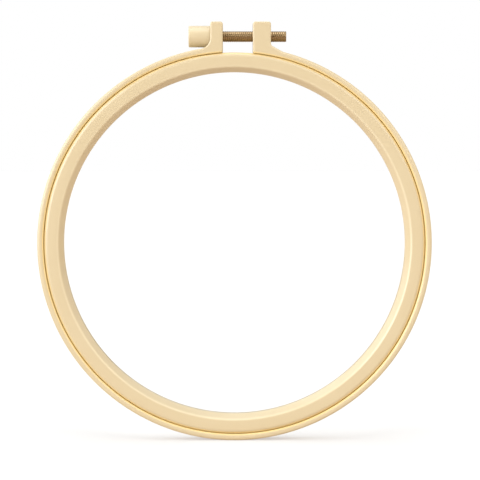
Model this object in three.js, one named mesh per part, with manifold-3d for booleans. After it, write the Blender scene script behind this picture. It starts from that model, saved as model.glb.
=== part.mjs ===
// A plastic embroidery hoop: a round inner ring held in a split outer ring by a thumb screw.
// Millimetres. The hoop stands upright on the ground at z = 0: X to the right, Y to the back, Z up.
// The hoop's own axis runs along Y, and the origin is under its middle.
import * as THREE from "three";
import { mergeVertices } from "three/addons/utils/BufferGeometryUtils.js";
import Module from "manifold-3d";

const wasm = await Module();
wasm.setup();

// Rings
const OUTER_RADIUS = 76.2; // outside of the outer ring: a six inch hoop
const OUTER_WALL = 2.55; // outer ring, from its outside to its inside
const RING_CLEARANCE = 0.3; // between the two rings, all the way round
const INNER_WALL = 7.35; // inner ring, from its outside to its bore
const RING_DEPTH = 11; // both rings, front to back
const EDGE_ROUND = 0.5; // front and back edges of the outer ring and its lugs
const FACE_WIDTH = 4.9; // inner ring's flat face, from its outside to the crease
const LAND_DEPTH = 3; // straight band round the bore, between the two bevels
const RIM_ROUND = 1.5; // outside edges of the inner ring's faces
const CREASE_ROUND = 1.2; // where a face of the inner ring turns into its bevel
const LAND_ROUND = 0.6; // where a bevel runs out into the band round the bore

// Lugs of the outer ring, either side of its split
const LUG_GAP = 11.5; // between the lugs' faces
const GAP_OFFSET = 1.25; // middle of that gap, to the right of the hoop's middle
const LUG_RISE = 9.3; // tops of the lugs over the outer ring
const CORNER_EXTRA = 0.2; // the lugs' top corners are this much rounder than their edges
const NARROW_LUG = 4.95; // left lug, which the knob bears on
const WIDE_LUG = 7.05; // right lug, which holds the threaded insert
const FILLET_RADIUS = 4.2; // left lug's foot sweeps into the ring
const GUSSET_RISE = 0.2; // right lug's straight gusset starts this far over the outer ring
const GUSSET_REACH = 4.5; // and runs this far out from the lug
const GUSSET_ROUND = 1.6; // softening of the gusset's upper corner

// Clamp screw, knob and insert
const SCREW_RISE = 3.65; // screw's axis over the outer ring
const THREAD_RADIUS = 2.08; // crest of a number 8 machine thread
const THREAD_DEPTH = 0.4;
const THREAD_PITCH = 0.794; // 32 threads to the inch
const TIP_LENGTH = 5.9; // screw's free end, past the wide lug
const TIP_CHAMFER = 0.4;
const HEAD_RADIUS = 2.9; // screw's head, moulded into the knob
const HEAD_LENGTH = 2.2;
const KNOB_RADIUS = 4.2;
const KNOB_LENGTH = 8.1;
const KNOB_ROUND = 0.5;
const KNOB_WEB = 2.5; // knob's wall between the screw's head and the lug
const INSERT_RADIUS = 3.4;
const INSERT_LENGTH = 5.5;
const INSERT_GROOVE = 0.35; // depth of the grip groove round the insert

// Clearances
const SEAT_CLEARANCE = 0.3; // between pieces that touch or hold one another
const TURN_CLEARANCE = 0.4; // round the knob in its relief, and round the screw in the narrow lug
const TILT_CLEARANCE = 0.6; // round the screw in the wide lug, because the lugs tilt as they open
const SEAT_SINK = 0.1; // depth of the knob's spot-faced seat in the narrow lug
const FLEX_GAP = 0.3; // between the two halves of the outer ring, opposite its lugs

// Fineness
const RING_STEP = 3; // degrees along the rings
const CORNER_STEP = 22.5; // degrees along small rounds
const THREAD_SIDES = 12; // corners in one turn of the thread

// Derived sizes
const centreHeight = OUTER_RADIUS;
const outerBore = OUTER_RADIUS - OUTER_WALL;
const innerRadius = outerBore - RING_CLEARANCE;
const boreRadius = innerRadius - INNER_WALL;
const screwHeight = centreHeight + OUTER_RADIUS + SCREW_RISE;
const narrowFace = GAP_OFFSET - LUG_GAP / 2; // narrow lug's face in the gap
const narrowBack = narrowFace - NARROW_LUG;
const wideFace = GAP_OFFSET + LUG_GAP / 2; // wide lug's face in the gap
const wideBack = wideFace + WIDE_LUG;
const knobSeat = narrowBack + SEAT_SINK;
const knobFace = knobSeat - SEAT_CLEARANCE;
const knobEnd = knobFace - KNOB_LENGTH;
const headFace = knobFace - KNOB_WEB - SEAT_CLEARANCE; // side of the head that pulls on the knob
const headEnd = headFace - HEAD_LENGTH;
const screwTip = wideBack + TIP_LENGTH;

const radians = (degrees) => (degrees * Math.PI) / 180;

// A closed geometry as a solid for joining and cutting.
function solid(geometry) {
  const bare = geometry.clone();
  bare.deleteAttribute("normal");
  bare.deleteAttribute("uv");
  const merged = mergeVertices(bare, 1e-4);
  const mesh = new wasm.Mesh({
    numProp: 3,
    vertProperties: merged.attributes.position.array,
    triVerts: new Uint32Array(merged.index.array),
  });
  return new wasm.Manifold(mesh);
}

// A solid as a geometry again, with flat shading normals.
function geometryOf(body) {
  const { vertProperties, triVerts } = body.getMesh();
  const geometry = new THREE.BufferGeometry();
  geometry.setAttribute("position", new THREE.BufferAttribute(vertProperties, 3));
  geometry.setIndex(new THREE.BufferAttribute(triVerts, 1));
  const flat = geometry.toNonIndexed();
  flat.computeVertexNormals();
  return flat;
}

// Points of an arc about (x, y), with one on every whole step of degrees that it passes.
function arc(x, y, radius, from, to, step) {
  const way = Math.sign(to - from);
  const angles = [from];
  let next = way > 0 ? Math.floor(from / step + 1e-6) + 1 : Math.ceil(from / step - 1e-6) - 1;
  while ((to - next * step) * way > step * 1e-3) {
    angles.push(next * step);
    next += way;
  }
  angles.push(to);
  return angles.map((a) => {
    const turn = radians(a);
    return new THREE.Vector2(x + radius * Math.cos(turn), y + radius * Math.sin(turn));
  });
}

// A path through corners given as [x, y, round], with each corner rounded to its radius.
function rounded(corners, closed) {
  const path = [];
  const count = corners.length;
  corners.forEach(([x, y, round = 0], i) => {
    const here = new THREE.Vector2(x, y);
    if (!round || (!closed && (i === 0 || i === count - 1))) {
      path.push(here);
      return;
    }
    const before = new THREE.Vector2(...corners[(i + count - 1) % count].slice(0, 2)).sub(here);
    const after = new THREE.Vector2(...corners[(i + 1) % count].slice(0, 2)).sub(here);
    const between = Math.acos(before.clone().normalize().dot(after.clone().normalize()));
    const reach = round / Math.tan(between / 2);
    const start = here.clone().addScaledVector(before.normalize(), reach);
    const end = here.clone().addScaledVector(after.normalize(), reach);
    const middle = before.clone().add(after).normalize();
    const centre = here.clone().addScaledVector(middle, round / Math.sin(between / 2));
    const first = start.clone().sub(centre).angle();
    const turn = THREE.MathUtils.euclideanModulo(
      end.clone().sub(centre).angle() - first + Math.PI,
      2 * Math.PI,
    ) - Math.PI;
    const steps = Math.max(2, Math.ceil(Math.abs(turn) / radians(CORNER_STEP)));
    for (let k = 0; k <= steps; k++) {
      const a = first + (turn * k) / steps;
      path.push(new THREE.Vector2(Math.cos(a), Math.sin(a)).multiplyScalar(round).add(centre));
    }
  });
  return path;
}

// A plain bar along X between two places, on the screw's height.
function bar(radius, from, to, sides = 32) {
  const geometry = new THREE.CylinderGeometry(radius, radius, to - from, sides);
  geometry.rotateZ(Math.PI / 2);
  geometry.translate((from + to) / 2, 0, screwHeight);
  return geometry;
}

// A turned piece along X, from a profile of [radius, x] points that starts and ends on the axis.
function turned(profile, sides) {
  const points = profile.map(([radius, x]) => new THREE.Vector2(radius, x));
  const geometry = new THREE.LatheGeometry(points, sides);
  geometry.rotateZ(-Math.PI / 2);
  geometry.translate(0, 0, screwHeight);
  return geometry;
}

// Height over the hoop's centre of a circle about it, at a distance to the side.
const heightOn = (radius, side) => Math.sqrt(radius * radius - side * side);

// Outline of a lug from the inside of the ring, up its gap face, over the top and down its back.
// Distances run to the side from the hoop's middle, and up from the hoop's centre.
function lugFaces(face, back) {
  const top = OUTER_RADIUS + LUG_RISE;
  const corner = EDGE_ROUND + CORNER_EXTRA;
  return [
    [face, heightOn(outerBore, face)],
    [face, top, corner],
    [back, top, corner],
  ];
}

// The narrow lug's foot is one hollow sweep, tangent to its back and to the ring's outside.
function narrowLugOutline() {
  const face = -narrowFace;
  const back = -narrowBack;
  const sweepSide = back + FILLET_RADIUS;
  const sweepHeight = heightOn(OUTER_RADIUS + FILLET_RADIUS, sweepSide);
  const meets = Math.atan2(sweepHeight, sweepSide) * (180 / Math.PI);
  const faces = rounded([...lugFaces(face, back), [back, sweepHeight]], false);
  const sweep = arc(sweepSide, sweepHeight, FILLET_RADIUS, 180, 180 + meets, CORNER_STEP / 2);
  return { points: [...faces, ...sweep.slice(1)], endAngle: meets };
}

// The wide lug's foot is a straight gusset down to the ring's outside.
function wideLugOutline() {
  const gussetTop = OUTER_RADIUS + GUSSET_RISE;
  const footSide = wideBack + GUSSET_REACH;
  const footHeight = heightOn(OUTER_RADIUS, footSide);
  const points = rounded(
    [
      ...lugFaces(wideFace, wideBack),
      [wideBack, gussetTop, GUSSET_ROUND],
      [footSide, footHeight],
    ],
    false,
  );
  return { points, endAngle: Math.atan2(footHeight, footSide) * (180 / Math.PI) };
}

// One half of the outer ring with its lug, still without holes. side is 1 to the right, -1 to the left.
// The outline runs past the bottom, where the half is cut off square, half the flex gap from the middle.
function ringHalf({ points, endAngle }, side) {
  const past = -90 - 2 * RING_STEP;
  const faceAngle = Math.atan2(points[0].y, points[0].x) * (180 / Math.PI);
  const outside = arc(0, 0, OUTER_RADIUS, endAngle, past, RING_STEP).slice(1);
  const inside = arc(0, 0, outerBore, past, faceAngle, RING_STEP).slice(0, -1);
  const outline = [...points, ...outside, ...inside].map(
    ({ x, y }) => new THREE.Vector2(side * x, y),
  );
  const geometry = new THREE.ExtrudeGeometry(new THREE.Shape(outline), {
    depth: RING_DEPTH - 2 * EDGE_ROUND,
    bevelThickness: EDGE_ROUND,
    bevelSize: EDGE_ROUND,
    bevelOffset: -EDGE_ROUND,
    bevelSegments: 3,
    steps: 1,
  });
  geometry.rotateX(Math.PI / 2);
  geometry.translate(0, RING_DEPTH / 2 - EDGE_ROUND, centreHeight);
  const away = new THREE.BoxGeometry(OUTER_RADIUS, 2 * RING_DEPTH, OUTER_RADIUS);
  away.translate((-side * (OUTER_RADIUS - FLEX_GAP)) / 2, 0, 0);
  return solid(geometry).subtract(solid(away));
}

// Left half: the screw passes through its narrow lug, and the knob sits in a relief in the lug's foot.
function makeOuterRingLeft() {
  const relief = bar(KNOB_RADIUS + TURN_CLEARANCE, knobEnd - TURN_CLEARANCE, knobSeat, 48);
  const hole = bar(THREAD_RADIUS + TURN_CLEARANCE, knobSeat - 1, narrowFace + 1);
  const body = ringHalf(narrowLugOutline(), -1).subtract(solid(relief)).subtract(solid(hole));
  return geometryOf(body);
}

// Right half: its wide lug has a pocket for the insert and a clearance hole on the gap side.
function makeOuterRingRight() {
  const pocketFloor = wideBack - INSERT_LENGTH - SEAT_CLEARANCE;
  const pocket = bar(INSERT_RADIUS + SEAT_CLEARANCE, pocketFloor, wideBack + 1, 36);
  const hole = bar(THREAD_RADIUS + TILT_CLEARANCE, wideFace - 1, pocketFloor + 1);
  const body = ringHalf(wideLugOutline(), 1).subtract(solid(pocket)).subtract(solid(hole));
  return geometryOf(body);
}

// Inner ring: a flat face, a bevel and a straight band round the bore, the same front and back.
function makeInnerRing() {
  const face = RING_DEPTH / 2;
  const crease = innerRadius - FACE_WIDTH;
  const profile = rounded(
    [
      [innerRadius, -face, RIM_ROUND],
      [innerRadius, face, RIM_ROUND],
      [crease, face, CREASE_ROUND],
      [boreRadius, LAND_DEPTH / 2, LAND_ROUND],
      [boreRadius, -LAND_DEPTH / 2, LAND_ROUND],
      [crease, -face, CREASE_ROUND],
    ],
    true,
  );
  const geometry = new THREE.LatheGeometry([...profile, profile[0]], 360 / RING_STEP);
  geometry.translate(0, 0, centreHeight);
  return geometry;
}

// A bar with a single-start right-hand V thread, longer than from..to, with its ends still ragged.
// Root and crest are two helices, half a pitch apart, joined by the thread's two flanks.
function threadedBar(from, to) {
  const root = THREAD_RADIUS - THREAD_DEPTH;
  const turns = Math.ceil((to - from) / THREAD_PITCH) + 2;
  const start = from - 2 * THREAD_PITCH;
  const count = turns * THREAD_SIDES;
  const positions = [];
  const put = (radius, x, turn) => {
    const a = 2 * Math.PI * turn;
    positions.push(x, radius * Math.cos(a), screwHeight + radius * Math.sin(a));
    return positions.length / 3 - 1;
  };
  const roots = [];
  const crests = [];
  for (let j = 0; j <= count + THREAD_SIDES; j++) {
    const turn = j / THREAD_SIDES;
    roots.push(put(root, start + THREAD_PITCH * turn, turn));
    if (j <= count) crests.push(put(THREAD_RADIUS, start + THREAD_PITCH * (turn + 0.5), turn));
  }
  const first = put(0, start, 0);
  const last = put(0, start + THREAD_PITCH * (turns + 1), 0);
  const faces = [];
  for (let j = 0; j < count; j++) {
    const next = roots[j + THREAD_SIDES];
    const nextOn = roots[j + THREAD_SIDES + 1];
    faces.push(roots[j], roots[j + 1], crests[j + 1], roots[j], crests[j + 1], crests[j]);
    faces.push(crests[j], crests[j + 1], nextOn, crests[j], nextOn, next);
  }
  for (let j = 0; j < THREAD_SIDES; j++) {
    faces.push(first, roots[j + 1], roots[j]);
    faces.push(last, roots[count + j], roots[count + j + 1]);
  }
  faces.push(first, crests[0], roots[THREAD_SIDES], first, roots[0], crests[0]);
  faces.push(last, roots[count + THREAD_SIDES], crests[count]);
  faces.push(last, crests[count], roots[count]);
  const geometry = new THREE.BufferGeometry();
  geometry.setAttribute("position", new THREE.Float32BufferAttribute(positions, 3));
  geometry.setIndex(faces);
  return geometry;
}

// Screw: threaded from its head to its chamfered tip. The head is hidden in the knob.
function makeClampScrew() {
  const clear = THREAD_RADIUS + 1;
  const blank = turned(
    [
      [0, headFace - HEAD_LENGTH / 2],
      [clear, headFace - HEAD_LENGTH / 2],
      [clear, screwTip - TIP_CHAMFER - clear + THREAD_RADIUS],
      [THREAD_RADIUS - TIP_CHAMFER, screwTip],
      [0, screwTip],
    ],
    THREAD_SIDES * 2,
  );
  const head = bar(HEAD_RADIUS, headEnd, headFace, 24);
  const shank = solid(threadedBar(headEnd, screwTip)).intersect(solid(blank));
  return geometryOf(shank.add(solid(head)));
}

// Knob: a plain round thumb knob, hollow where the screw and its head are moulded in.
function makeScrewKnob() {
  const hole = THREAD_RADIUS + SEAT_CLEARANCE;
  const cavity = HEAD_RADIUS + SEAT_CLEARANCE;
  const outside = rounded(
    [
      [0, knobEnd],
      [KNOB_RADIUS, knobEnd, KNOB_ROUND],
      [KNOB_RADIUS, knobFace, KNOB_ROUND / 2],
      [hole, knobFace],
    ],
    false,
  ).map(({ x, y }) => [x, y]);
  const inside = [
    [hole, headFace + SEAT_CLEARANCE],
    [cavity, headFace + SEAT_CLEARANCE],
    [cavity, headEnd - SEAT_CLEARANCE],
    [0, headEnd - SEAT_CLEARANCE],
  ];
  return turned([...outside, ...inside], 40);
}

// Insert: a metal bush with a grip groove, pressed into the wide lug from its back.
function makeThreadedInsert() {
  const bore = THREAD_RADIUS + TILT_CLEARANCE;
  const grip = INSERT_RADIUS - INSERT_GROOVE;
  const step = INSERT_LENGTH / 5;
  const from = wideBack - INSERT_LENGTH;
  const profile = [
    [bore, from],
    [INSERT_RADIUS, from],
    [INSERT_RADIUS, from + 2 * step],
    [grip, from + 2 * step],
    [grip, from + 3 * step],
    [INSERT_RADIUS, from + 3 * step],
    [INSERT_RADIUS, wideBack],
    [bore, wideBack],
    [bore, from],
  ];
  return turned(profile, 24);
}

const mouldedPlastic = { color: 0xf3e0bd, roughness: 0.45, metalness: 0 };
const darkBrass = { color: 0x9a7647, roughness: 0.38, metalness: 1 };

const hoop = new THREE.Group();

function addPiece(name, geometry, finish) {
  const piece = new THREE.Mesh(geometry, new THREE.MeshStandardMaterial(finish));
  piece.name = name;
  hoop.add(piece);
}

addPiece("outer_ring_left", makeOuterRingLeft(), mouldedPlastic);
addPiece("outer_ring_right", makeOuterRingRight(), mouldedPlastic);
addPiece("inner_ring", makeInnerRing(), mouldedPlastic);
addPiece("clamp_screw", makeClampScrew(), darkBrass);
addPiece("screw_knob", makeScrewKnob(), mouldedPlastic);
addPiece("threaded_insert", makeThreadedInsert(), darkBrass);

export default hoop;
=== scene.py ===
import math

import bmesh
import bpy
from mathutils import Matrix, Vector


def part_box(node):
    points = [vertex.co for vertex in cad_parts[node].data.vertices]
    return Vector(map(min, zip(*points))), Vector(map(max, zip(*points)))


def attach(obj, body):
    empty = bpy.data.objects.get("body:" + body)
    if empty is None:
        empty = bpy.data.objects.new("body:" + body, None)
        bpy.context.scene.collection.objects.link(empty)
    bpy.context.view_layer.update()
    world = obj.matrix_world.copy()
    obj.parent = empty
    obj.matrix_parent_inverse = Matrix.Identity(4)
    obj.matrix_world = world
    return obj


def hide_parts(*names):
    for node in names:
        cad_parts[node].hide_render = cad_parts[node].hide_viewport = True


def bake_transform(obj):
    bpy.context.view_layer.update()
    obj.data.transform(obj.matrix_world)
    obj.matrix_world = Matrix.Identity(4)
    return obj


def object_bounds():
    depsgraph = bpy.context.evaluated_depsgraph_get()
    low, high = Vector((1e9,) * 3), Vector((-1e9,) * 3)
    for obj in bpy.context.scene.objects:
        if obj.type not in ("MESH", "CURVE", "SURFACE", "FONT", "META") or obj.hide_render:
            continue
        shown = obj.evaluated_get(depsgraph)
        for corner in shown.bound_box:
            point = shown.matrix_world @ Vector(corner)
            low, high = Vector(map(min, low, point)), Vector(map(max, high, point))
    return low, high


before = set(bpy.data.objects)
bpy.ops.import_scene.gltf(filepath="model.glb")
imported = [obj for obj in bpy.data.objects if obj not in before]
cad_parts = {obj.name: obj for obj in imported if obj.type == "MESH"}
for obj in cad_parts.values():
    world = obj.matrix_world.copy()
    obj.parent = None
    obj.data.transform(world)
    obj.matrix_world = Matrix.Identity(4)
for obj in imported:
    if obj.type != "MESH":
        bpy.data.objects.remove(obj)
cad_low, cad_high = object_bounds()

# A cream plastic embroidery hoop, standing upright. X runs to the right along the clamp screw,
# Y to the back along the hoop's axis, and Z up. Lengths are in millimetres until a mesh is made.
MM = 0.001
X, Y, Z = 0, 1, 2


def span(node, axis):
    """Lowest and highest place of a CAD node along an axis."""
    low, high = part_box(node)
    return low[axis] / MM, high[axis] / MM


# Places that the frame gives
INNER_GROWTH = 0.27  # the rings all but touch, where the CAD leaves a wider gap between its solids
INNER_RADIUS = (span("inner_ring", X)[1] - span("inner_ring", X)[0]) / 2 + INNER_GROWTH
CENTRE = sum(span("inner_ring", Z)) / 2
HALF_DEPTH = span("inner_ring", Y)[1]
OUTER_RADIUS = CENTRE - cad_low.z / MM
LUG_TOP = cad_high.z / MM
SCREW_HEIGHT = sum(span("clamp_screw", Z)) / 2
HEAD_END, SCREW_TIP = span("clamp_screw", X)
KNOB_END = span("screw_knob", X)[0]
INSERT_FROM, WIDE_BACK = span("threaded_insert", X)
KNOB_RADIUS = (span("screw_knob", Z)[1] - span("screw_knob", Z)[0]) / 2
HEAD_RADIUS = (span("clamp_screw", Z)[1] - span("clamp_screw", Z)[0]) / 2
INSERT_RADIUS = (span("threaded_insert", Z)[1] - span("threaded_insert", Z)[0]) / 2

# Rings
OUTER_WALL = 2.55  # outer ring, from its outside to its inside
RING_CROWN = 1.15  # rounding of the outer ring's front and back edges, seen from the front
CROWN_DEPTH = 0.62  # that rounding's depth, as a share of its width
DRAFT = 0.06  # the outer ring is this much slimmer at its faces than at its middle
PARTING_RISE = 0.035  # fine raised line where the two halves of the mould met
PARTING_WIDTH = 0.16
PARTING_SHOULDER = 0.9  # share of the rise still to come halfway from its foot to its middle
PARTING_TOP = 0.004  # the raised line stops this far short of the ring's outline
FACE_MARGIN = 0.03  # band of the flat face beside the crown, which keeps its shading flat
WALL_MARGIN = 0.12  # the like band of the straight wall
WALL_MARGIN_DRAFT = 0.97  # share of the draft that is left at that band's end
FACE_WIDTH = 5.3 + INNER_GROWTH  # inner ring's flat face, from its outside to the crease
INNER_WALL = 7.2 + INNER_GROWTH  # inner ring, from its outside to its bore
LAND_DEPTH = 4.0  # straight band round the bore, between the two bevels
RIM_ROUND = 1.7  # outside edges of the inner ring's faces
CREASE_ROUND = 1.1  # where a face of the inner ring turns into its bevel
LAND_ROUND = 0.6  # where a bevel runs out into the band round the bore

# Lugs
LUG_GAP = 11.5
NARROW_LUG = 4.95  # widths of the lugs
WIDE_LUG = 7.05
LUG_EDGE = 0.65  # rounding of the lugs' front and back edges
TOP_CORNER = 1.0  # rounds of the lugs' tops, seen from the front
GAP_CORNER = 0.75  # where a lug's gap face meets the inside of the ring
GAP_CORNER_RUN = 2.6  # of the ring's inside beside that corner, which gives its direction
FILLET_RADIUS = 4.2  # narrow lug's foot sweeps into the ring
GUSSET_RISE = 0.2  # over the ring's outside, where the gusset leaves the wide lug
GUSSET_REACH = 4.5  # from the wide lug's back to the gusset's foot
GUSSET_ROUND = 1.1  # hollow between the gusset and the wide lug
GUSSET_FOOT = 6.0  # softening where the gusset runs out on the ring
CROWN_REACH = 7.0  # the lugs' small edges grow to the ring's crown over this way

# Holes in the lugs
RELIEF_CLEARANCE = 0.3  # round the knob in the narrow lug's foot
SEAT_SINK = 0.1  # spot-faced seat of the knob
SCREW_CLEARANCE = 0.22  # round the screw in the narrow lug
TILT_CLEARANCE = 0.37  # round the screw in the wide lug, whose tilt it has to take
POCKET_CLEARANCE = 0.04  # round the insert
HOLE_LIP = 0.25  # rounded rim of the holes

# Screw, knob and insert
THREAD_RADIUS = 2.08
THREAD_DEPTH = 0.11
THREAD_PITCH = 0.794
SPARE_TURNS = 3  # of the thread, past the shank's two ends, where they are cut off
HEAD_LENGTH = 2.2
KNOB_ROUND = 0.42
KNOB_GAP = 0.05  # between the knob and its seat
KNOB_DISH = 0.12  # depth of the gate mark in the middle of the knob's end
DISH_RADIUS = 0.95
DISH_FLARE = 0.12  # the mark's wall widens by this toward its rim
DISH_ROUND = 0.1  # at the foot of its wall
DISH_RIM = 0.05  # at its rim
HEAD_CLEARANCE = 0.1
INSERT_GROOVE = 0.35  # depth of the grip groove
GROOVE_FROM = 0.4  # its two walls, as shares of the insert's length
GROOVE_TO = 0.6
GROOVE_ROUND = 0.05
INSERT_EDGE = 0.2  # rounds of the insert's outside, at its hidden end and at the lug's back
INSERT_BACK_EDGE = 0.12
BORE_EDGE = 0.1  # rounds of its bore, at the same two ends
BORE_BACK_EDGE = 0.3

# Ejector pin marks on the back
MARK_COUNT = 8
MARK_RADIUS = 0.95
MARK_DEPTH = 0.07

# Fineness
RING_STEP = 0.75  # degrees along the rings
UNDER_LUG_STEP = 1.5  # degrees along the outer ring's inside, under the lugs
CORNER_STEP = 9.0  # degrees along small rounds
FILLET_STEP = 4.5  # degrees along the narrow lug's foot
LIP_STEP = 18.0  # degrees along the holes' rims
CROWN_STEPS = 8
SCREW_SIDES = 36
HEAD_SIDES = 48
KNOB_SIDES = 128
HOLE_SIDES = 96  # also of the insert
MARK_SIDES = 32
SHARP_OVER = 38.0  # degrees between faces from which an edge stays crisp
THREAD_SHARP_OVER = 50.0

WIDE_FACE = WIDE_BACK - WIDE_LUG
NARROW_FACE = WIDE_FACE - LUG_GAP
NARROW_BACK = NARROW_FACE - NARROW_LUG
OUTER_BORE = OUTER_RADIUS - OUTER_WALL
BORE_RADIUS = INNER_RADIUS - INNER_WALL
CREASE_RADIUS = INNER_RADIUS - FACE_WIDTH


# Paths in a plane

def arc(centre, radius, start, end, step):
    """Points of an arc, both ends included. Angles are in degrees."""
    count = max(2, math.ceil(abs(end - start) / step))
    turns = [math.radians(start + (end - start) * k / count) for k in range(count + 1)]
    return [Vector(centre) + radius * Vector((math.cos(a), math.sin(a))) for a in turns]


def fillet(before, corner, after, radius):
    """Points of the arc that rounds a path's corner."""
    here = Vector(corner)
    back = (Vector(before) - here).normalized()
    onward = (Vector(after) - here).normalized()
    half = back.angle(onward) / 2
    centre = here + (back + onward).normalized() * (radius / math.sin(half))
    first = here + back * (radius / math.tan(half)) - centre
    last = here + onward * (radius / math.tan(half)) - centre
    start = math.degrees(math.atan2(first.y, first.x))
    turn = math.remainder(math.degrees(math.atan2(last.y, last.x)) - start, 360)
    return arc(centre, radius, start, start + turn, CORNER_STEP)


def rounded(corners, closed=False):
    """A path through corners given as (x, y, round), each rounded to its radius."""
    path = []
    count = len(corners)
    for i, (x, y, radius) in enumerate(corners):
        at_end = not closed and i in (0, count - 1)
        if at_end or radius == 0:
            path.append(Vector((x, y)))
        else:
            before = corners[i - 1][:2]
            after = corners[(i + 1) % count][:2]
            path.extend(fillet(before, (x, y), after, radius))
    return path


def height_on(radius, side):
    """Height over the hoop's centre of a circle about it, at a distance to the side."""
    return math.sqrt(radius * radius - side * side)


def smooth_step(value, start, end):
    t = min(1.0, max(0.0, (value - start) / (end - start)))
    return t * t * (3 - 2 * t)


# Meshes

def mesh_piece(name, points, faces):
    """A closed piece from points in millimetres, with its faces turned outward."""
    mesh = bpy.data.meshes.new(name)
    mesh.from_pydata([Vector(p) * MM for p in points], [], faces)
    shape = bmesh.new()
    shape.from_mesh(mesh)
    bmesh.ops.remove_doubles(shape, verts=shape.verts, dist=1e-6)
    bmesh.ops.dissolve_degenerate(shape, edges=shape.edges, dist=1e-7)
    bmesh.ops.recalc_face_normals(shape, faces=shape.faces)
    shape.to_mesh(mesh)
    shape.free()
    piece = bpy.data.objects.new(name, mesh)
    bpy.context.scene.collection.objects.link(piece)
    return piece


def turned(name, profile, sides, along):
    """A piece turned about the hoop's axis (along Y) or the screw's axis (along X).

    The profile is a list of (radius, place along the axis), closed or with both ends on the axis.
    """
    points = []
    for k in range(sides):
        a = 2 * math.pi * k / sides
        for radius, place in profile:
            u = radius * math.cos(a)
            v = radius * math.sin(a)
            points.append((u, place, CENTRE + v) if along == Y else (place, u, SCREW_HEIGHT + v))
    rows = len(profile)
    faces = []
    for k in range(sides):
        here = k * rows
        there = (k + 1) % sides * rows
        for j in range(rows):
            on = (j + 1) % rows
            faces.append((here + j, here + on, there + on, there + j))
    return mesh_piece(name, points, faces)


def combine(piece, other, operation):
    """Cuts or joins another closed piece into this one, and deletes the other."""
    modifier = piece.modifiers.new("combine", "BOOLEAN")
    modifier.operation = operation
    modifier.solver = "EXACT"
    modifier.object = other
    shaped = piece.evaluated_get(bpy.context.evaluated_depsgraph_get())
    mesh = bpy.data.meshes.new_from_object(shaped)
    piece.modifiers.clear()
    piece.data = mesh
    bpy.data.objects.remove(other)


def smooth(piece, sharp_over=SHARP_OVER):
    """Smooth shading, with edges sharper than an angle in degrees left crisp."""
    piece.data.name = piece.name
    piece.data.shade_smooth()
    piece.data.set_sharp_from_angle(angle=math.radians(sharp_over))


# Outer ring

def gap_corner(face):
    """The corner where a lug's gap face meets the ring's inside, rounded."""
    height = height_on(OUTER_BORE, face)
    along_bore = Vector((height, -face)).normalized() * GAP_CORNER_RUN
    corner = Vector((face, height))
    return fillet(corner + along_bore, corner, (face, LUG_TOP), GAP_CORNER)


def lug_faces(face, back):
    """Up a lug's gap face, over its top and down its back. Distances run to the side and up."""
    top = LUG_TOP - CENTRE
    return [
        (face, height_on(OUTER_BORE, face) + GAP_CORNER, 0),
        (face, top, TOP_CORNER),
        (back, top, TOP_CORNER),
    ]


def narrow_lug():
    """Outline of the narrow lug. Its foot is one hollow sweep, tangent to its back and the ring."""
    face = -NARROW_FACE
    back = -NARROW_BACK
    side = back + FILLET_RADIUS
    height = height_on(OUTER_RADIUS + FILLET_RADIUS, side)
    meets = math.degrees(math.atan2(height, side))
    faces = rounded([*lug_faces(face, back), (back, height, 0)])
    sweep = arc((side, height), FILLET_RADIUS, 180, 180 + meets, FILLET_STEP)
    return gap_corner(face) + faces[1:] + sweep[1:]


def wide_lug():
    """Outline of the wide lug, whose foot is a straight gusset down to the ring."""
    foot = WIDE_BACK + GUSSET_REACH
    foot_height = height_on(OUTER_RADIUS, foot)
    on_ring = Vector((foot_height, -foot)).normalized() * GUSSET_FOOT
    corners = [
        *lug_faces(WIDE_FACE, WIDE_BACK),
        (WIDE_BACK, OUTER_RADIUS + GUSSET_RISE, GUSSET_ROUND),
        (foot, foot_height, GUSSET_FOOT),
        (foot + on_ring.x, foot_height + on_ring.y, 0),
    ]
    return gap_corner(WIDE_FACE) + rounded(corners)[1:-1]


def edge_size(point):
    """Rounding of the front and back edges: small on the lugs, growing to the ring's crown."""
    if point.y < 0:
        return RING_CROWN
    reach = abs(point.x) - (WIDE_BACK if point.x > 0 else -NARROW_BACK)
    return LUG_EDGE + (RING_CROWN - LUG_EDGE) * smooth_step(reach, 0, CROWN_REACH)


def inward_normals(outline):
    """Unit normals into the material along a closed outline that has it on its right."""
    normals = []
    for i, here in enumerate(outline):
        onward = (outline[(i + 1) % len(outline)] - here).normalized()
        arriving = (here - outline[i - 1]).normalized()
        way = (onward + arriving).normalized()
        normals.append(Vector((way.y, -way.x)))
    return normals


def crown_loops():
    """Loops of the ring's section from its front to the middle of its depth.

    Each is (share of the edge rounding inward, further inset, share of its depth, further depth).
    """
    loops = [(1, DRAFT + FACE_MARGIN, 0, 0)]
    for k in range(CROWN_STEPS + 1):
        a = math.pi / 2 * k / CROWN_STEPS
        loops.append((1 - math.sin(a), DRAFT, 1 - math.cos(a), 0))
    loops.append((0, DRAFT * WALL_MARGIN_DRAFT, 1, WALL_MARGIN))
    for inset, from_middle in (
        (PARTING_RISE, PARTING_WIDTH),
        (PARTING_RISE * PARTING_SHOULDER, PARTING_WIDTH / 2),
        (PARTING_TOP, PARTING_WIDTH / 6),
    ):
        loops.append((0, inset, 0, HALF_DEPTH - from_middle))
    return loops


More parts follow.
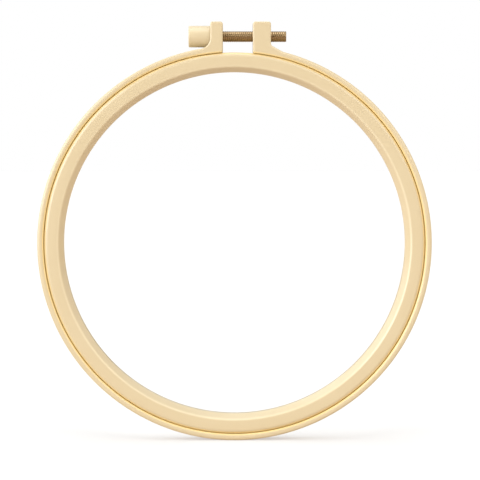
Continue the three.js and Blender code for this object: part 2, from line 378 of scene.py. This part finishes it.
def make_outer_ring():
    """The outer ring as the one springy moulding that it is, with its two lugs."""
    wide = wide_lug()
    narrow = [Vector((-p.x, p.y)) for p in reversed(narrow_lug())]
    start = math.degrees(math.atan2(wide[-1].y, wide[-1].x))
    end = math.degrees(math.atan2(narrow[0].y, narrow[0].x)) - 360
    outside = arc((0, 0), OUTER_RADIUS, start, end, RING_STEP)
    inside = arc((0, 0), OUTER_BORE, end, start, RING_STEP)
    left_angle = math.degrees(math.atan2(narrow[-1].y, narrow[-1].x)) - 360
    right_angle = math.degrees(math.atan2(wide[0].y, wide[0].x))
    under_narrow = arc((0, 0), OUTER_BORE, left_angle, end, UNDER_LUG_STEP)
    under_wide = arc((0, 0), OUTER_BORE, start, right_angle, UNDER_LUG_STEP)
    outline = wide + outside[1:-1] + narrow + under_narrow[1:-1] + inside + under_wide[1:-1]
    normals = inward_normals(outline)
    sizes = [edge_size(p) for p in outline]
    count = len(outline)

    points = []
    front = crown_loops()
    loops = [(*loop, -1) for loop in front] + [(*loop, 1) for loop in reversed(front)]
    for share, inset, depth_share, depth, side in loops:
        for point, normal, size in zip(outline, normals, sizes):
            at = point + normal * (share * size + inset)
            back = HALF_DEPTH - depth_share * size * CROWN_DEPTH - depth
            points.append((at.x, side * back, CENTRE + at.y))

    faces = []
    for k in range(len(loops) - 1):
        for i in range(count):
            on = (i + 1) % count
            faces.append((k * count + i, k * count + on, (k + 1) * count + on, (k + 1) * count + i))
    ring_first = len(wide) - 1
    ring_count = len(outside) - 1
    ring_last = ring_first + ring_count
    bore_first = ring_last + len(narrow) - 1 + len(under_narrow) - 1
    bore_last = bore_first + ring_count
    for first in (0, (len(loops) - 1) * count):
        for k in range(ring_count):
            quad = (ring_first + k, ring_first + k + 1, bore_last - k - 1, bore_last - k)
            faces.append(tuple(first + i for i in quad))
        faces.append(tuple(first + i for i in [*range(bore_last, count), *range(ring_first + 1)]))
        faces.append(tuple(first + i for i in range(ring_last, bore_first + 1)))
    ring = mesh_piece("outer_ring", points, faces)
    cut_lug_holes(ring)
    smooth(ring)
    return ring


def hole_profile(radius, start, end, start_flares, end_flares):
    """Profile of a cutter for a hole along X.

    An end that flares rounds the hole's rim there and runs on past it. Any other end just stops.
    """
    flare = radius + HOLE_LIP
    first = [(radius, start)]
    last = [(radius, end)]
    if start_flares:
        rim = arc((flare, start + HOLE_LIP), HOLE_LIP, 270, 180, LIP_STEP)
        first = [(flare, start - HOLE_LIP), *rim]
    if end_flares:
        rim = arc((flare, end - HOLE_LIP), HOLE_LIP, 180, 90, LIP_STEP)
        last = [*rim, (flare, end + HOLE_LIP)]
    return [(0, first[0][1]), *first, *last, (0, last[-1][1])]


def cut_lug_holes(ring):
    """Cuts the knob's relief and the screw's holes, and the insert's pocket in the wide lug."""
    relief = KNOB_RADIUS + RELIEF_CLEARANCE
    seat = NARROW_BACK + SEAT_SINK
    beyond = KNOB_END - RELIEF_CLEARANCE
    screw_hole = THREAD_RADIUS + SCREW_CLEARANCE
    tilt_hole = THREAD_RADIUS + TILT_CLEARANCE
    pocket = INSERT_RADIUS + POCKET_CLEARANCE
    for profile in (
        [(0, beyond), (relief, beyond), (relief, seat), (0, seat)],
        hole_profile(screw_hole, seat - HOLE_LIP, NARROW_FACE, False, True),
        hole_profile(tilt_hole, WIDE_FACE, INSERT_FROM + HOLE_LIP, True, False),
        hole_profile(pocket, INSERT_FROM - POCKET_CLEARANCE, WIDE_BACK, False, True),
    ):
        combine(ring, turned("cutter", profile, HOLE_SIDES, X), "DIFFERENCE")


# Inner ring

def make_inner_ring():
    """A flat face, a bevel and a straight band round the bore, the same front and back."""
    parting = [
        (BORE_RADIUS, -PARTING_WIDTH / 2, 0),
        (BORE_RADIUS - PARTING_RISE, 0, 0),
        (BORE_RADIUS, PARTING_WIDTH / 2, 0),
    ]
    corners = [
        (INNER_RADIUS, HALF_DEPTH, RIM_ROUND),
        (CREASE_RADIUS, HALF_DEPTH, CREASE_ROUND),
        (BORE_RADIUS, LAND_DEPTH / 2, LAND_ROUND),
        *reversed(parting),
        (BORE_RADIUS, -LAND_DEPTH / 2, LAND_ROUND),
        (CREASE_RADIUS, -HALF_DEPTH, CREASE_ROUND),
        (INNER_RADIUS, -HALF_DEPTH, RIM_ROUND),
    ]
    profile = rounded(corners, closed=True)
    ring = turned("inner_ring_fine", profile, round(360 / RING_STEP), Y)
    cut_ejector_marks(ring)
    smooth(ring)
    return ring


def cut_ejector_marks(ring):
    """Shallow round marks on the back face, where pins pushed the ring out of its mould."""
    middle = (CREASE_RADIUS + INNER_RADIUS - RIM_ROUND) / 2 + CREASE_ROUND / 4
    sides = MARK_SIDES
    points = []
    faces = []
    for k in range(MARK_COUNT):
        a = 2 * math.pi * (k + 0.5) / MARK_COUNT
        first = len(points)
        for place in (HALF_DEPTH - MARK_DEPTH, HALF_DEPTH + MARK_DEPTH):
            for j in range(sides):
                b = 2 * math.pi * j / sides
                x = middle * math.cos(a) + MARK_RADIUS * math.cos(b)
                z = middle * math.sin(a) + MARK_RADIUS * math.sin(b)
                points.append((x, place, CENTRE + z))
        for j in range(sides):
            on = (j + 1) % sides
            faces.append((first + j, first + on, first + sides + on, first + sides + j))
        faces.append(tuple(range(first, first + sides)))
        faces.append(tuple(range(first + sides, first + 2 * sides)))
    combine(ring, mesh_piece("cutter", points, faces), "DIFFERENCE")


# Screw, knob and insert

def thread_profile():
    """One pitch of the thread, as (share of the pitch, share of the depth below the crest)."""
    crest = [(-0.29, 0.08), (-0.25, 0.0), (0.25, 0.0), (0.29, 0.08)]
    root = [(0.39, 0.92), (0.43, 1.0), (0.57, 1.0), (0.61, 0.92)]
    return crest + root


def make_clamp_screw():
    """A machine screw threaded from its head to its chamfered tip. The head is inside the knob."""
    shank_from = HEAD_END + HEAD_LENGTH / 2
    shape = thread_profile()
    rows_per_turn = len(shape)
    turns = math.ceil((SCREW_TIP - shank_from) / THREAD_PITCH) + SPARE_TURNS
    rows = turns * rows_per_turn
    root = THREAD_RADIUS - THREAD_DEPTH
    points = []
    for i in range(SCREW_SIDES):
        a = 2 * math.pi * i / SCREW_SIDES
        for k in range(rows):
            share, below = shape[k % rows_per_turn]
            place = i / SCREW_SIDES + k // rows_per_turn + share - SPARE_TURNS / 2
            x = min(SCREW_TIP, max(shank_from, shank_from + THREAD_PITCH * place))
            taper = root + min(SCREW_TIP - x, x - shank_from)
            radius = min(THREAD_RADIUS - THREAD_DEPTH * below, taper)
            points.append((x, radius * math.cos(a), SCREW_HEIGHT + radius * math.sin(a)))
    faces = []
    for i in range(SCREW_SIDES):
        on = (i + 1) % SCREW_SIDES
        skip = rows_per_turn if on == 0 else 0
        for k in range(rows - 1 - skip):
            here = i * rows + k
            there = on * rows + k + skip
            faces.append((here, there, there + 1, here + 1))
    first = [i * rows for i in range(SCREW_SIDES)]
    last = [i * rows + rows - 1 for i in range(SCREW_SIDES)]
    faces.append(tuple(first))
    faces.append(tuple(last))
    screw = mesh_piece("clamp_screw_fine", points, faces)
    head = [
        (0, HEAD_END),
        (HEAD_RADIUS, HEAD_END),
        (HEAD_RADIUS, HEAD_END + HEAD_LENGTH),
        (0, HEAD_END + HEAD_LENGTH),
    ]
    combine(screw, turned("cutter", head, HEAD_SIDES, X), "UNION")
    smooth(screw, THREAD_SHARP_OVER)
    return screw


def make_knob():
    """A plain round thumb knob, hollow for the screw's head, with a gate mark in its end."""
    face = NARROW_BACK + SEAT_SINK - KNOB_GAP
    hole = THREAD_RADIUS + HEAD_CLEARANCE
    cavity = HEAD_RADIUS + HEAD_CLEARANCE
    outside = rounded(
        [
            (0, KNOB_END + KNOB_DISH, 0),
            (DISH_RADIUS, KNOB_END + KNOB_DISH, DISH_ROUND),
            (DISH_RADIUS + DISH_FLARE, KNOB_END, DISH_RIM),
            (KNOB_RADIUS - DRAFT, KNOB_END, KNOB_ROUND),
            (KNOB_RADIUS, face, KNOB_ROUND / 2),
            (hole, face, 0),
        ]
    )
    inside = [
        (hole, HEAD_END + HEAD_LENGTH + HEAD_CLEARANCE),
        (cavity, HEAD_END + HEAD_LENGTH + HEAD_CLEARANCE),
        (cavity, HEAD_END - HEAD_CLEARANCE),
        (0, HEAD_END - HEAD_CLEARANCE),
    ]
    knob = turned("screw_knob_fine", outside + inside, KNOB_SIDES, X)
    smooth(knob)
    return knob


def make_insert():
    """A turned metal bush with a grip groove, flush with the wide lug's back."""
    bore = THREAD_RADIUS + TILT_CLEARANCE
    length = WIDE_BACK - INSERT_FROM
    groove_from = INSERT_FROM + length * GROOVE_FROM
    groove_to = INSERT_FROM + length * GROOVE_TO
    grip = INSERT_RADIUS - INSERT_GROOVE
    corners = [
        (bore, INSERT_FROM, BORE_EDGE),
        (INSERT_RADIUS, INSERT_FROM, INSERT_EDGE),
        (INSERT_RADIUS, groove_from, GROOVE_ROUND),
        (grip, groove_from, GROOVE_ROUND),
        (grip, groove_to, GROOVE_ROUND),
        (INSERT_RADIUS, groove_to, GROOVE_ROUND),
        (INSERT_RADIUS, WIDE_BACK, INSERT_BACK_EDGE),
        (bore, WIDE_BACK, BORE_BACK_EDGE),
    ]
    insert = turned("threaded_insert_fine", rounded(corners, closed=True), HOLE_SIDES, X)
    smooth(insert)
    return insert


# Tones and finishes

CREAM = (0.610, 0.515, 0.333, 1.0)
CLOUD = (0.597, 0.498, 0.314, 1.0)
PAINTED_SEAM_GLOW = (0.92, 0.7, 0.266, 1.0)  # painted golden glow where the rings meet, standing in for light bounced about the groove and through the plastic
PAINTED_SEAM_GLOW_WIDTH = 1.0
PAINTED_SEAM_GLOW_SHARE = 0.75
PAINTED_CREASE_HIGHLIGHT = (0.68, 0.59, 0.40, 1.0)  # painted highlight along the crease, paler than the rest
PAINTED_CREASE_HIGHLIGHT_WIDTH = 0.7
LINE_FROM = HALF_DEPTH - 2.4  # depths between which the painted seam glow and painted crease highlight come in
LINE_FULL = HALF_DEPTH - 1.4
PLASTIC_ROUGHNESS = 0.36
GRAIN_GLOSS = 0.025  # how far the grain changes that roughness, either way
RUB_GLOSS = -0.06  # rub marks are glossier
RUB_CUT = -0.25  # and lie lower, against the grain's height
WAVES_PER_GRAIN = 0.035  # the long waves are this much coarser than the grain
HAIR_WIDTH = 0.006  # of a rub mark, as a share of the noise's range

BRIGHT = (0.35, 0.245, 0.13, 1.0)  # the screw's rubbed crests
DARK = (0.16, 0.098, 0.045, 1.0)  # full tarnish
INSERT_BRIGHT = (0.62, 0.44, 0.2, 1.0)
SCREW_ROUGHNESS = 0.2
INSERT_ROUGHNESS = 0.3
HOLLOW_TARNISH = 0.5
PATCH_TARNISH = 0.35
TARNISH_PER_METRE = 260.0
TARNISH_DULLING = 0.16  # what full tarnish adds to the roughness
BRASS_RUB_CUT = -0.5
INSERT_TARNISH_DEPTH = 0.5  # from the insert's outside inward


# Shader nodes

SOCKETS = {"value": "NodeSocketFloat", "colour": "NodeSocketColor", "vector": "NodeSocketVector"}


def new_group(name, inputs, outputs):
    """A shader node group from (name, kind) pairs. Returns its tree, its inputs and its outputs."""
    tree = bpy.data.node_groups.new(name, "ShaderNodeTree")
    for label, kind in inputs:
        tree.interface.new_socket(name=label, in_out="INPUT", socket_type=SOCKETS[kind])
    for label, kind in outputs:
        tree.interface.new_socket(name=label, in_out="OUTPUT", socket_type=SOCKETS[kind])
    return tree, tree.nodes.new("NodeGroupInput").outputs, tree.nodes.new("NodeGroupOutput").inputs


def feed(tree, socket, value):
    """Links a socket to another one, or sets its own value."""
    if isinstance(value, bpy.types.NodeSocket):
        tree.links.new(value, socket)
    else:
        socket.default_value = value


def place_group(tree, group, **inputs):
    """Places a node group in a tree. An input's name has _ for its spaces."""
    node = tree.nodes.new("ShaderNodeGroup")
    node.node_tree = group
    for name, value in inputs.items():
        feed(tree, node.inputs[name.replace("_", " ")], value)
    return node.outputs


def calculate(tree, operation, *values):
    node = tree.nodes.new("ShaderNodeMath")
    node.operation = operation
    for socket, value in zip(node.inputs, values):
        feed(tree, socket, value)
    return node.outputs[0]


def vector_of(tree, operation, *values):
    node = tree.nodes.new("ShaderNodeVectorMath")
    node.operation = operation
    for socket, value in zip(node.inputs, values):
        feed(tree, socket, value)
    return node.outputs


def mix_colours(tree, factor, first, second):
    node = tree.nodes.new("ShaderNodeMix")
    node.data_type = "RGBA"
    feed(tree, node.inputs[0], factor)
    feed(tree, node.inputs[6], first)
    feed(tree, node.inputs[7], second)
    return node.outputs[2]


def rescale(tree, value, low, high, to_low, to_high, smooth_ends=True):
    node = tree.nodes.new("ShaderNodeMapRange")
    node.interpolation_type = "SMOOTHSTEP" if smooth_ends else "LINEAR"
    for label, number in (
        ("Value", value),
        ("From Min", low),
        ("From Max", high),
        ("To Min", to_low),
        ("To Max", to_high),
    ):
        feed(tree, node.inputs[label], number)
    return node.outputs["Result"]


def noise(tree, place, scale, detail, roughness):
    node = tree.nodes.new("ShaderNodeTexNoise")
    feed(tree, node.inputs["Vector"], place)
    feed(tree, node.inputs["Scale"], scale)
    feed(tree, node.inputs["Detail"], detail)
    feed(tree, node.inputs["Roughness"], roughness)
    return node.outputs["Fac"]


def split(tree, vector):
    node = tree.nodes.new("ShaderNodeSeparateXYZ")
    feed(tree, node.inputs[0], vector)
    return node.outputs


def make_mottle_group():
    """Soft cloudy patches of a second tint, as where the pigment is not quite evenly mixed."""
    tree, given, made = new_group(
        "cloudy_tint",
        [
            ("Place", "vector"),
            ("Patches per Metre", "value"),
            ("Amount", "value"),
            ("Tint", "colour"),
            ("Cloud Tint", "colour"),
        ],
        [("Colour", "colour")],
    )
    patches = noise(tree, given["Place"], given["Patches per Metre"], detail=3.0, roughness=0.55)
    clouds = rescale(tree, patches, low=0.36, high=0.64, to_low=0.0, to_high=1.0)
    share = calculate(tree, "MULTIPLY", clouds, given["Amount"])
    feed(tree, made["Colour"], mix_colours(tree, share, given["Tint"], given["Cloud Tint"]))
    return tree


def make_grain_group():
    """The fine texture that a mould leaves: tight grain over long, very shallow waves."""
    tree, given, made = new_group(
        "moulded_grain",
        [("Place", "vector"), ("Grains per Metre", "value"), ("Waviness", "value")],
        [("Height", "value"), ("Gloss", "value")],
    )
    grain = noise(tree, given["Place"], given["Grains per Metre"], detail=2.0, roughness=0.6)
    wave_scale = calculate(tree, "MULTIPLY", given["Grains per Metre"], WAVES_PER_GRAIN)
    waves = noise(tree, given["Place"], wave_scale, detail=1.0, roughness=0.4)
    lifted = calculate(tree, "MULTIPLY", waves, given["Waviness"])
    feed(tree, made["Height"], calculate(tree, "ADD", grain, lifted))
    gloss = rescale(tree, grain, low=0.3, high=0.7, to_low=-1.0, to_high=1.0)
    feed(tree, made["Gloss"], gloss)
    return tree


def make_scratch_group():
    """Hair-thin rub marks: the level lines of a stretched noise, broken up by another."""
    tree, given, made = new_group(
        "rub_marks",
        [("Place", "vector"), ("Stretch", "vector"), ("Density", "value")],
        [("Marks", "value")],
    )
    stretched = vector_of(tree, "MULTIPLY", given["Place"], given["Stretch"])["Vector"]
    field = noise(tree, stretched, 1.0, detail=0.0, roughness=0.5)
    off_level = calculate(tree, "ABSOLUTE", calculate(tree, "SUBTRACT", field, 0.5))
    lines = rescale(tree, off_level, low=0.0, high=HAIR_WIDTH, to_low=1.0, to_high=0.0)
    gate = noise(tree, given["Place"], given["Density"], detail=1.0, roughness=0.5)
    breaks = rescale(tree, gate, low=0.52, high=0.62, to_low=0.0, to_high=1.0)
    feed(tree, made["Marks"], calculate(tree, "MULTIPLY", lines, breaks))
    return tree


def make_round_line_group():
    """How near a place is to a circle about the hoop's axis, from 1 on it to 0 at a width away.

    It fades out toward the hoop's middle, from the full depth to the depth it starts from.
    """
    tree, given, made = new_group(
        "round_line",
        [
            ("Place", "vector"),
            ("Hoop Centre", "vector"),
            ("Radius", "value"),
            ("Width", "value"),
            ("From Depth", "value"),
            ("Full Depth", "value"),
        ],
        [("Nearness", "value")],
    )
    away = vector_of(tree, "SUBTRACT", given["Place"], given["Hoop Centre"])["Vector"]
    flat = vector_of(tree, "MULTIPLY", away, (1.0, 0.0, 1.0))["Vector"]
    radius = vector_of(tree, "LENGTH", flat)["Value"]
    gap = calculate(tree, "ABSOLUTE", calculate(tree, "SUBTRACT", radius, given["Radius"]))
    near = rescale(tree, gap, low=0.0, high=given["Width"], to_low=1.0, to_high=0.0)
    depth = calculate(tree, "ABSOLUTE", split(tree, away)["Y"])
    outward = rescale(tree, depth, given["From Depth"], given["Full Depth"], 0.0, 1.0)
    feed(tree, made["Nearness"], calculate(tree, "MULTIPLY", near, outward))
    return tree


def make_patina_group():
    """Tarnish on turned brass: darker in hollows and in patches, rubbed bright on the crests."""
    tree, given, made = new_group(
        "brass_patina",
        [
            ("Place", "vector"),
            ("Axis Place", "vector"),
            ("Root Radius", "value"),
            ("Crest Radius", "value"),
            ("Bright", "colour"),
            ("Dark", "colour"),
        ],
        [("Colour", "colour"), ("Tarnish", "value")],
    )
    away = vector_of(tree, "SUBTRACT", given["Place"], given["Axis Place"])["Vector"]
    across = vector_of(tree, "MULTIPLY", away, (0.0, 1.0, 1.0))["Vector"]
    radius = vector_of(tree, "LENGTH", across)["Value"]
    hollow = rescale(tree, radius, given["Root Radius"], given["Crest Radius"], HOLLOW_TARNISH, 0.0)
    spread = noise(tree, given["Place"], TARNISH_PER_METRE, detail=3.0, roughness=0.5)
    patches = rescale(tree, spread, low=0.38, high=0.66, to_low=0.0, to_high=PATCH_TARNISH)
    tarnish = calculate(tree, "MAXIMUM", hollow, patches)
    feed(tree, made["Colour"], mix_colours(tree, tarnish, given["Bright"], given["Dark"]))
    feed(tree, made["Tarnish"], tarnish)
    return tree


def new_material(name):
    """A material with one Principled shader, with its tree, the shader's inputs and the place."""
    material = bpy.data.materials.new(name)
    material.use_nodes = True
    tree = material.node_tree
    tree.nodes.clear()
    shader = tree.nodes.new("ShaderNodeBsdfPrincipled")
    output = tree.nodes.new("ShaderNodeOutputMaterial")
    tree.links.new(shader.outputs[0], output.inputs["Surface"])
    place = tree.nodes.new("ShaderNodeTexCoord").outputs["Object"]
    return material, tree, shader.inputs, place


def add_bump(tree, shader, height, strength, distance):
    bump = tree.nodes.new("ShaderNodeBump")
    bump.inputs["Strength"].default_value = strength
    bump.inputs["Distance"].default_value = distance
    feed(tree, bump.inputs["Height"], height)
    tree.links.new(bump.outputs[0], shader["Normal"])


HOOP_CENTRE = (0.0, 0.0, CENTRE * MM)
SCREW_AXIS = (0.0, 0.0, SCREW_HEIGHT * MM)
SEAM_RADIUS = (OUTER_BORE + INNER_RADIUS) / 2


def cream_plastic(name, groups, crease=None):
    """Moulded cream plastic: cloudy tint, fine grain, faint rub marks and a painted warm glow at
    the seam.

    A crease at a radius, where there is one, gets a paler painted highlight along it.
    """
    material, tree, shader, place = new_material(name)
    cloudy = place_group(
        tree,
        groups["mottle"],
        Place=place,
        Patches_per_Metre=70.0,
        Amount=0.55,
        Tint=CREAM,
        Cloud_Tint=CLOUD,
    )
    # painted golden glow in the groove where the rings meet, standing in for bounced and carried
    # light
    seam_glow = place_group(
        tree,
        groups["round_line"],
        Place=place,
        Hoop_Centre=HOOP_CENTRE,
        Radius=SEAM_RADIUS * MM,
        Width=PAINTED_SEAM_GLOW_WIDTH * MM,
        From_Depth=LINE_FROM * MM,
        Full_Depth=LINE_FULL * MM,
    )
    seam_glow_share = calculate(tree, "MULTIPLY", seam_glow["Nearness"], PAINTED_SEAM_GLOW_SHARE)
    colour = mix_colours(tree, seam_glow_share, cloudy["Colour"], PAINTED_SEAM_GLOW)
    # painted highlight along the crease, a paler tint standing in for light caught there
    if crease:
        crease_highlight = place_group(
            tree,
            groups["round_line"],
            Place=place,
            Hoop_Centre=HOOP_CENTRE,
            Radius=(crease + PAINTED_CREASE_HIGHLIGHT_WIDTH / 5) * MM,
            Width=PAINTED_CREASE_HIGHLIGHT_WIDTH * MM,
            From_Depth=LINE_FROM * MM,
            Full_Depth=LINE_FULL * MM,
        )
        colour = mix_colours(tree, crease_highlight["Nearness"], colour, PAINTED_CREASE_HIGHLIGHT)
    feed(tree, shader["Base Color"], colour)
    grain = place_group(tree, groups["grain"], Place=place, Grains_per_Metre=5200.0, Waviness=1.6)
    marks = place_group(
        tree,
        groups["scratch"],
        Place=place,
        Stretch=(90.0, 700.0, 140.0),
        Density=60.0,
    )
    gloss_change = calculate(tree, "MULTIPLY", grain["Gloss"], GRAIN_GLOSS)
    rubbed = calculate(tree, "MULTIPLY", marks["Marks"], RUB_GLOSS)
    change = calculate(tree, "ADD", gloss_change, rubbed)
    feed(tree, shader["Roughness"], calculate(tree, "ADD", change, PLASTIC_ROUGHNESS))
    scratched = calculate(tree, "MULTIPLY", marks["Marks"], RUB_CUT)
    height = calculate(tree, "ADD", grain["Height"], scratched)
    add_bump(tree, shader, height, strength=0.05, distance=0.05 * MM)
    shader["Specular IOR Level"].default_value = 0.5
    shader["Coat Weight"].default_value = 0.4
    shader["Coat Roughness"].default_value = 0.18
    return material


def aged_brass(name, bright, dark, crest, root, roughness, groups):
    """Machined brass, tarnished in its hollows, with the fine lines that turning left."""
    material, tree, shader, place = new_material(name)
    patina = place_group(
        tree,
        groups["patina"],
        Place=place,
        Axis_Place=SCREW_AXIS,
        Root_Radius=root * MM,
        Crest_Radius=crest * MM,
        Bright=bright,
        Dark=dark,
    )
    feed(tree, shader["Base Color"], patina["Colour"])
    shader["Metallic"].default_value = 1.0
    grain = place_group(tree, groups["grain"], Place=place, Grains_per_Metre=9000.0, Waviness=0.5)
    marks = place_group(
        tree,
        groups["scratch"],
        Place=place,
        Stretch=(2600.0, 160.0, 160.0),
        Density=300.0,
    )
    dulled = calculate(tree, "MULTIPLY", patina["Tarnish"], TARNISH_DULLING)
    feed(tree, shader["Roughness"], calculate(tree, "ADD", dulled, roughness))
    scratched = calculate(tree, "MULTIPLY", marks["Marks"], BRASS_RUB_CUT)
    height = calculate(tree, "ADD", grain["Height"], scratched)
    add_bump(tree, shader, height, strength=0.04, distance=0.03 * MM)
    return material


# Studio

FLOOR_RINGS = [0.3, 1.0, 3.0, 9.0]  # radii in metres of the floor's rings of faces
FLOOR_SIDES = 96
FLOOR_TINT = 0.395  # dim enough that its shadows aren't lost in white
FLOOR_GRAIN = 0.003  # how far the paper's fibres change that tint, either way
FLOOR_GLOW = 0.5  # the pale floor is lit from under, too, so that shadows on it stay faint
GLOW_TINT = (0.57, 0.27, 0.02, 1.0)  # of the glow as the hoop receives it
BACKDROP = 1.0  # how bright the backdrop looks, which the lit floor matches
SKY_TOP = 0.06
SKY_HORIZON = 0.02
LIGHT_AWAY = 2.0  # metres, which makes no difference to a sun
WHITE = (1.0, 1.0, 1.0)
WARM = (1.0, 0.82, 0.55)
LIGHTS = [
    # name, degrees left of the front, degrees over the floor, strength, width in degrees, tint
    ("front_left_softbox", 40, 13, 2.05, 44, WHITE),
    ("front_right_softbox", -32, 28, 1.05, 44, WHITE),
    ("high_front_softbox", 0, 62, 0.36, 24, WHITE),
    ("left_softbox", 74, 18, 1.9, 56, WHITE),
    ("right_fill", -72, 18, 1.0, 56, WARM),
    ("back_left_fill", 125, 30, 0.95, 56, WHITE),
    ("back_right_fill", -125, 30, 0.65, 56, WHITE),
    ("back_softbox", 180, 40, 0.65, 56, WHITE),
    ("overhead_softbox", 0, 88, 1.0, 40, WHITE),
]
LENS = 176.5
SENSOR = 36.0
CAMERA_AWAY = 912.0  # from the hoop's middle plane
CAMERA_SIDE = -4.0
CAMERA_OVER = 38.0  # over the hoop's centre
AIM_RIGHT = 2.08
AIM_UP = 1.41


def make_floor():
    """A wide pale floor that runs out of sight."""
    sides = FLOOR_SIDES
    points = [(0, 0, 0)]
    faces = []
    for r in FLOOR_RINGS:
        for k in range(sides):
            a = 2 * math.pi * k / sides
            points.append((r * math.cos(a), r * math.sin(a), 0))
    for k in range(sides):
        faces.append((0, 1 + k, 1 + (k + 1) % sides))
    for ring in range(len(FLOOR_RINGS) - 1):
        for k in range(sides):
            on = (k + 1) % sides
            here = 1 + ring * sides
            there = here + sides
            faces.append((here + k, there + k, there + on, here + on))
    mesh = bpy.data.meshes.new("floor")
    mesh.from_pydata(points, [], faces)
    floor = bpy.data.objects.new("floor", mesh)
    bpy.context.scene.collection.objects.link(floor)
    material, tree, shader, place = new_material("pale_paper")
    fibres = noise(tree, place, 900.0, detail=3.0, roughness=0.6)
    palest = FLOOR_TINT * (1 + FLOOR_GRAIN)
    deepest = FLOOR_TINT * (1 - FLOOR_GRAIN)
    shade = rescale(tree, fibres, low=0.3, high=0.7, to_low=deepest, to_high=palest)
    feed(tree, shader["Base Color"], shade)
    shader["Roughness"].default_value = 1.0
    shader["Specular IOR Level"].default_value = 0.0
    seen = tree.nodes.new("ShaderNodeLightPath").outputs["Is Camera Ray"]
    feed(tree, shader["Emission Color"], mix_colours(tree, seen, GLOW_TINT, (*WHITE, 1.0)))
    shader["Emission Strength"].default_value = FLOOR_GLOW
    mesh.materials.append(material)


def make_sky():
    """A little light from all round, less near the horizon, and a plain pale backdrop."""
    world = bpy.data.worlds.new("studio")
    bpy.context.scene.world = world
    world.use_nodes = True
    tree = world.node_tree
    tree.nodes.clear()
    direction = tree.nodes.new("ShaderNodeTexCoord").outputs["Generated"]
    up = split(tree, direction)["Z"]
    strength = rescale(tree, up, 0.0, 1.0, SKY_HORIZON, SKY_TOP, smooth_ends=False)
    light = tree.nodes.new("ShaderNodeBackground")
    feed(tree, light.inputs["Strength"], strength)
    light.inputs["Color"].default_value = (*WHITE, 1.0)
    backdrop = tree.nodes.new("ShaderNodeBackground")
    backdrop.inputs["Color"].default_value = (BACKDROP, BACKDROP, BACKDROP, 1.0)
    seen = tree.nodes.new("ShaderNodeLightPath").outputs["Is Camera Ray"]
    chosen = tree.nodes.new("ShaderNodeMixShader")
    tree.links.new(seen, chosen.inputs[0])
    tree.links.new(light.outputs[0], chosen.inputs[1])
    tree.links.new(backdrop.outputs[0], chosen.inputs[2])
    output = tree.nodes.new("ShaderNodeOutputWorld")
    tree.links.new(chosen.outputs[0], output.inputs["Surface"])


def make_lights():
    """Wide suns, which light the whole floor alike, as large softboxes far off would."""
    for name, left, over, strength, width, tint in LIGHTS:
        a = math.radians(left)
        e = math.radians(over)
        toward = Vector((-math.sin(a) * math.cos(e), -math.cos(a) * math.cos(e), math.sin(e)))
        data = bpy.data.lights.new(name, "SUN")
        data.energy = strength
        data.color = tint
        data.angle = math.radians(width)
        light = bpy.data.objects.new(name, data)
        bpy.context.scene.collection.objects.link(light)
        light.location = toward * LIGHT_AWAY
        light.rotation_euler = toward.to_track_quat("Z", "Y").to_euler()


def make_camera():
    data = bpy.data.cameras.new("photo_view")
    data.lens = LENS
    data.sensor_width = SENSOR
    camera = bpy.data.objects.new("photo_view", data)
    bpy.context.scene.collection.objects.link(camera)
    camera.location = Vector((CAMERA_SIDE, -CAMERA_AWAY, CENTRE + CAMERA_OVER)) * MM
    aim = Vector((AIM_RIGHT, -HALF_DEPTH, CENTRE + AIM_UP)) * MM
    camera.rotation_euler = (aim - camera.location).to_track_quat("-Z", "Y").to_euler()
    bpy.context.scene.camera = camera


# Making

make_camera()
bpy.context.scene.view_settings.view_transform = "Standard"
make_sky()
make_lights()
make_floor()

shared = {
    "mottle": make_mottle_group(),
    "grain": make_grain_group(),
    "scratch": make_scratch_group(),
    "round_line": make_round_line_group(),
    "patina": make_patina_group(),
}

outer_ring = make_outer_ring()
outer_ring.data.materials.append(cream_plastic("outer_ring_plastic", shared))
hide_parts("outer_ring_left", "outer_ring_right")
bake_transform(outer_ring)

inner_ring = make_inner_ring()
inner_ring.data.materials.append(cream_plastic("inner_ring_plastic", shared, CREASE_RADIUS))
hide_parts("inner_ring")
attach(inner_ring, "inner_hoop")

knob = make_knob()
knob.data.materials.append(cream_plastic("knob_plastic", shared))
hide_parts("screw_knob")
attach(knob, "screw_and_knob")

screw = make_clamp_screw()
screw.data.materials.append(
    aged_brass(
        "screw_brass",
        BRIGHT,
        DARK,
        crest=THREAD_RADIUS,
        root=THREAD_RADIUS - THREAD_DEPTH,
        roughness=SCREW_ROUGHNESS,
        groups=shared,
    )
)
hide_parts("clamp_screw")
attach(screw, "screw_and_knob")

insert = make_insert()
insert.data.materials.append(
    aged_brass(
        "insert_brass",
        INSERT_BRIGHT,
        DARK,
        crest=INSERT_RADIUS,
        root=INSERT_RADIUS - INSERT_TARNISH_DEPTH,
        roughness=INSERT_ROUGHNESS,
        groups=shared,
    )
)
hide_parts("threaded_insert")
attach(insert, "right_half")
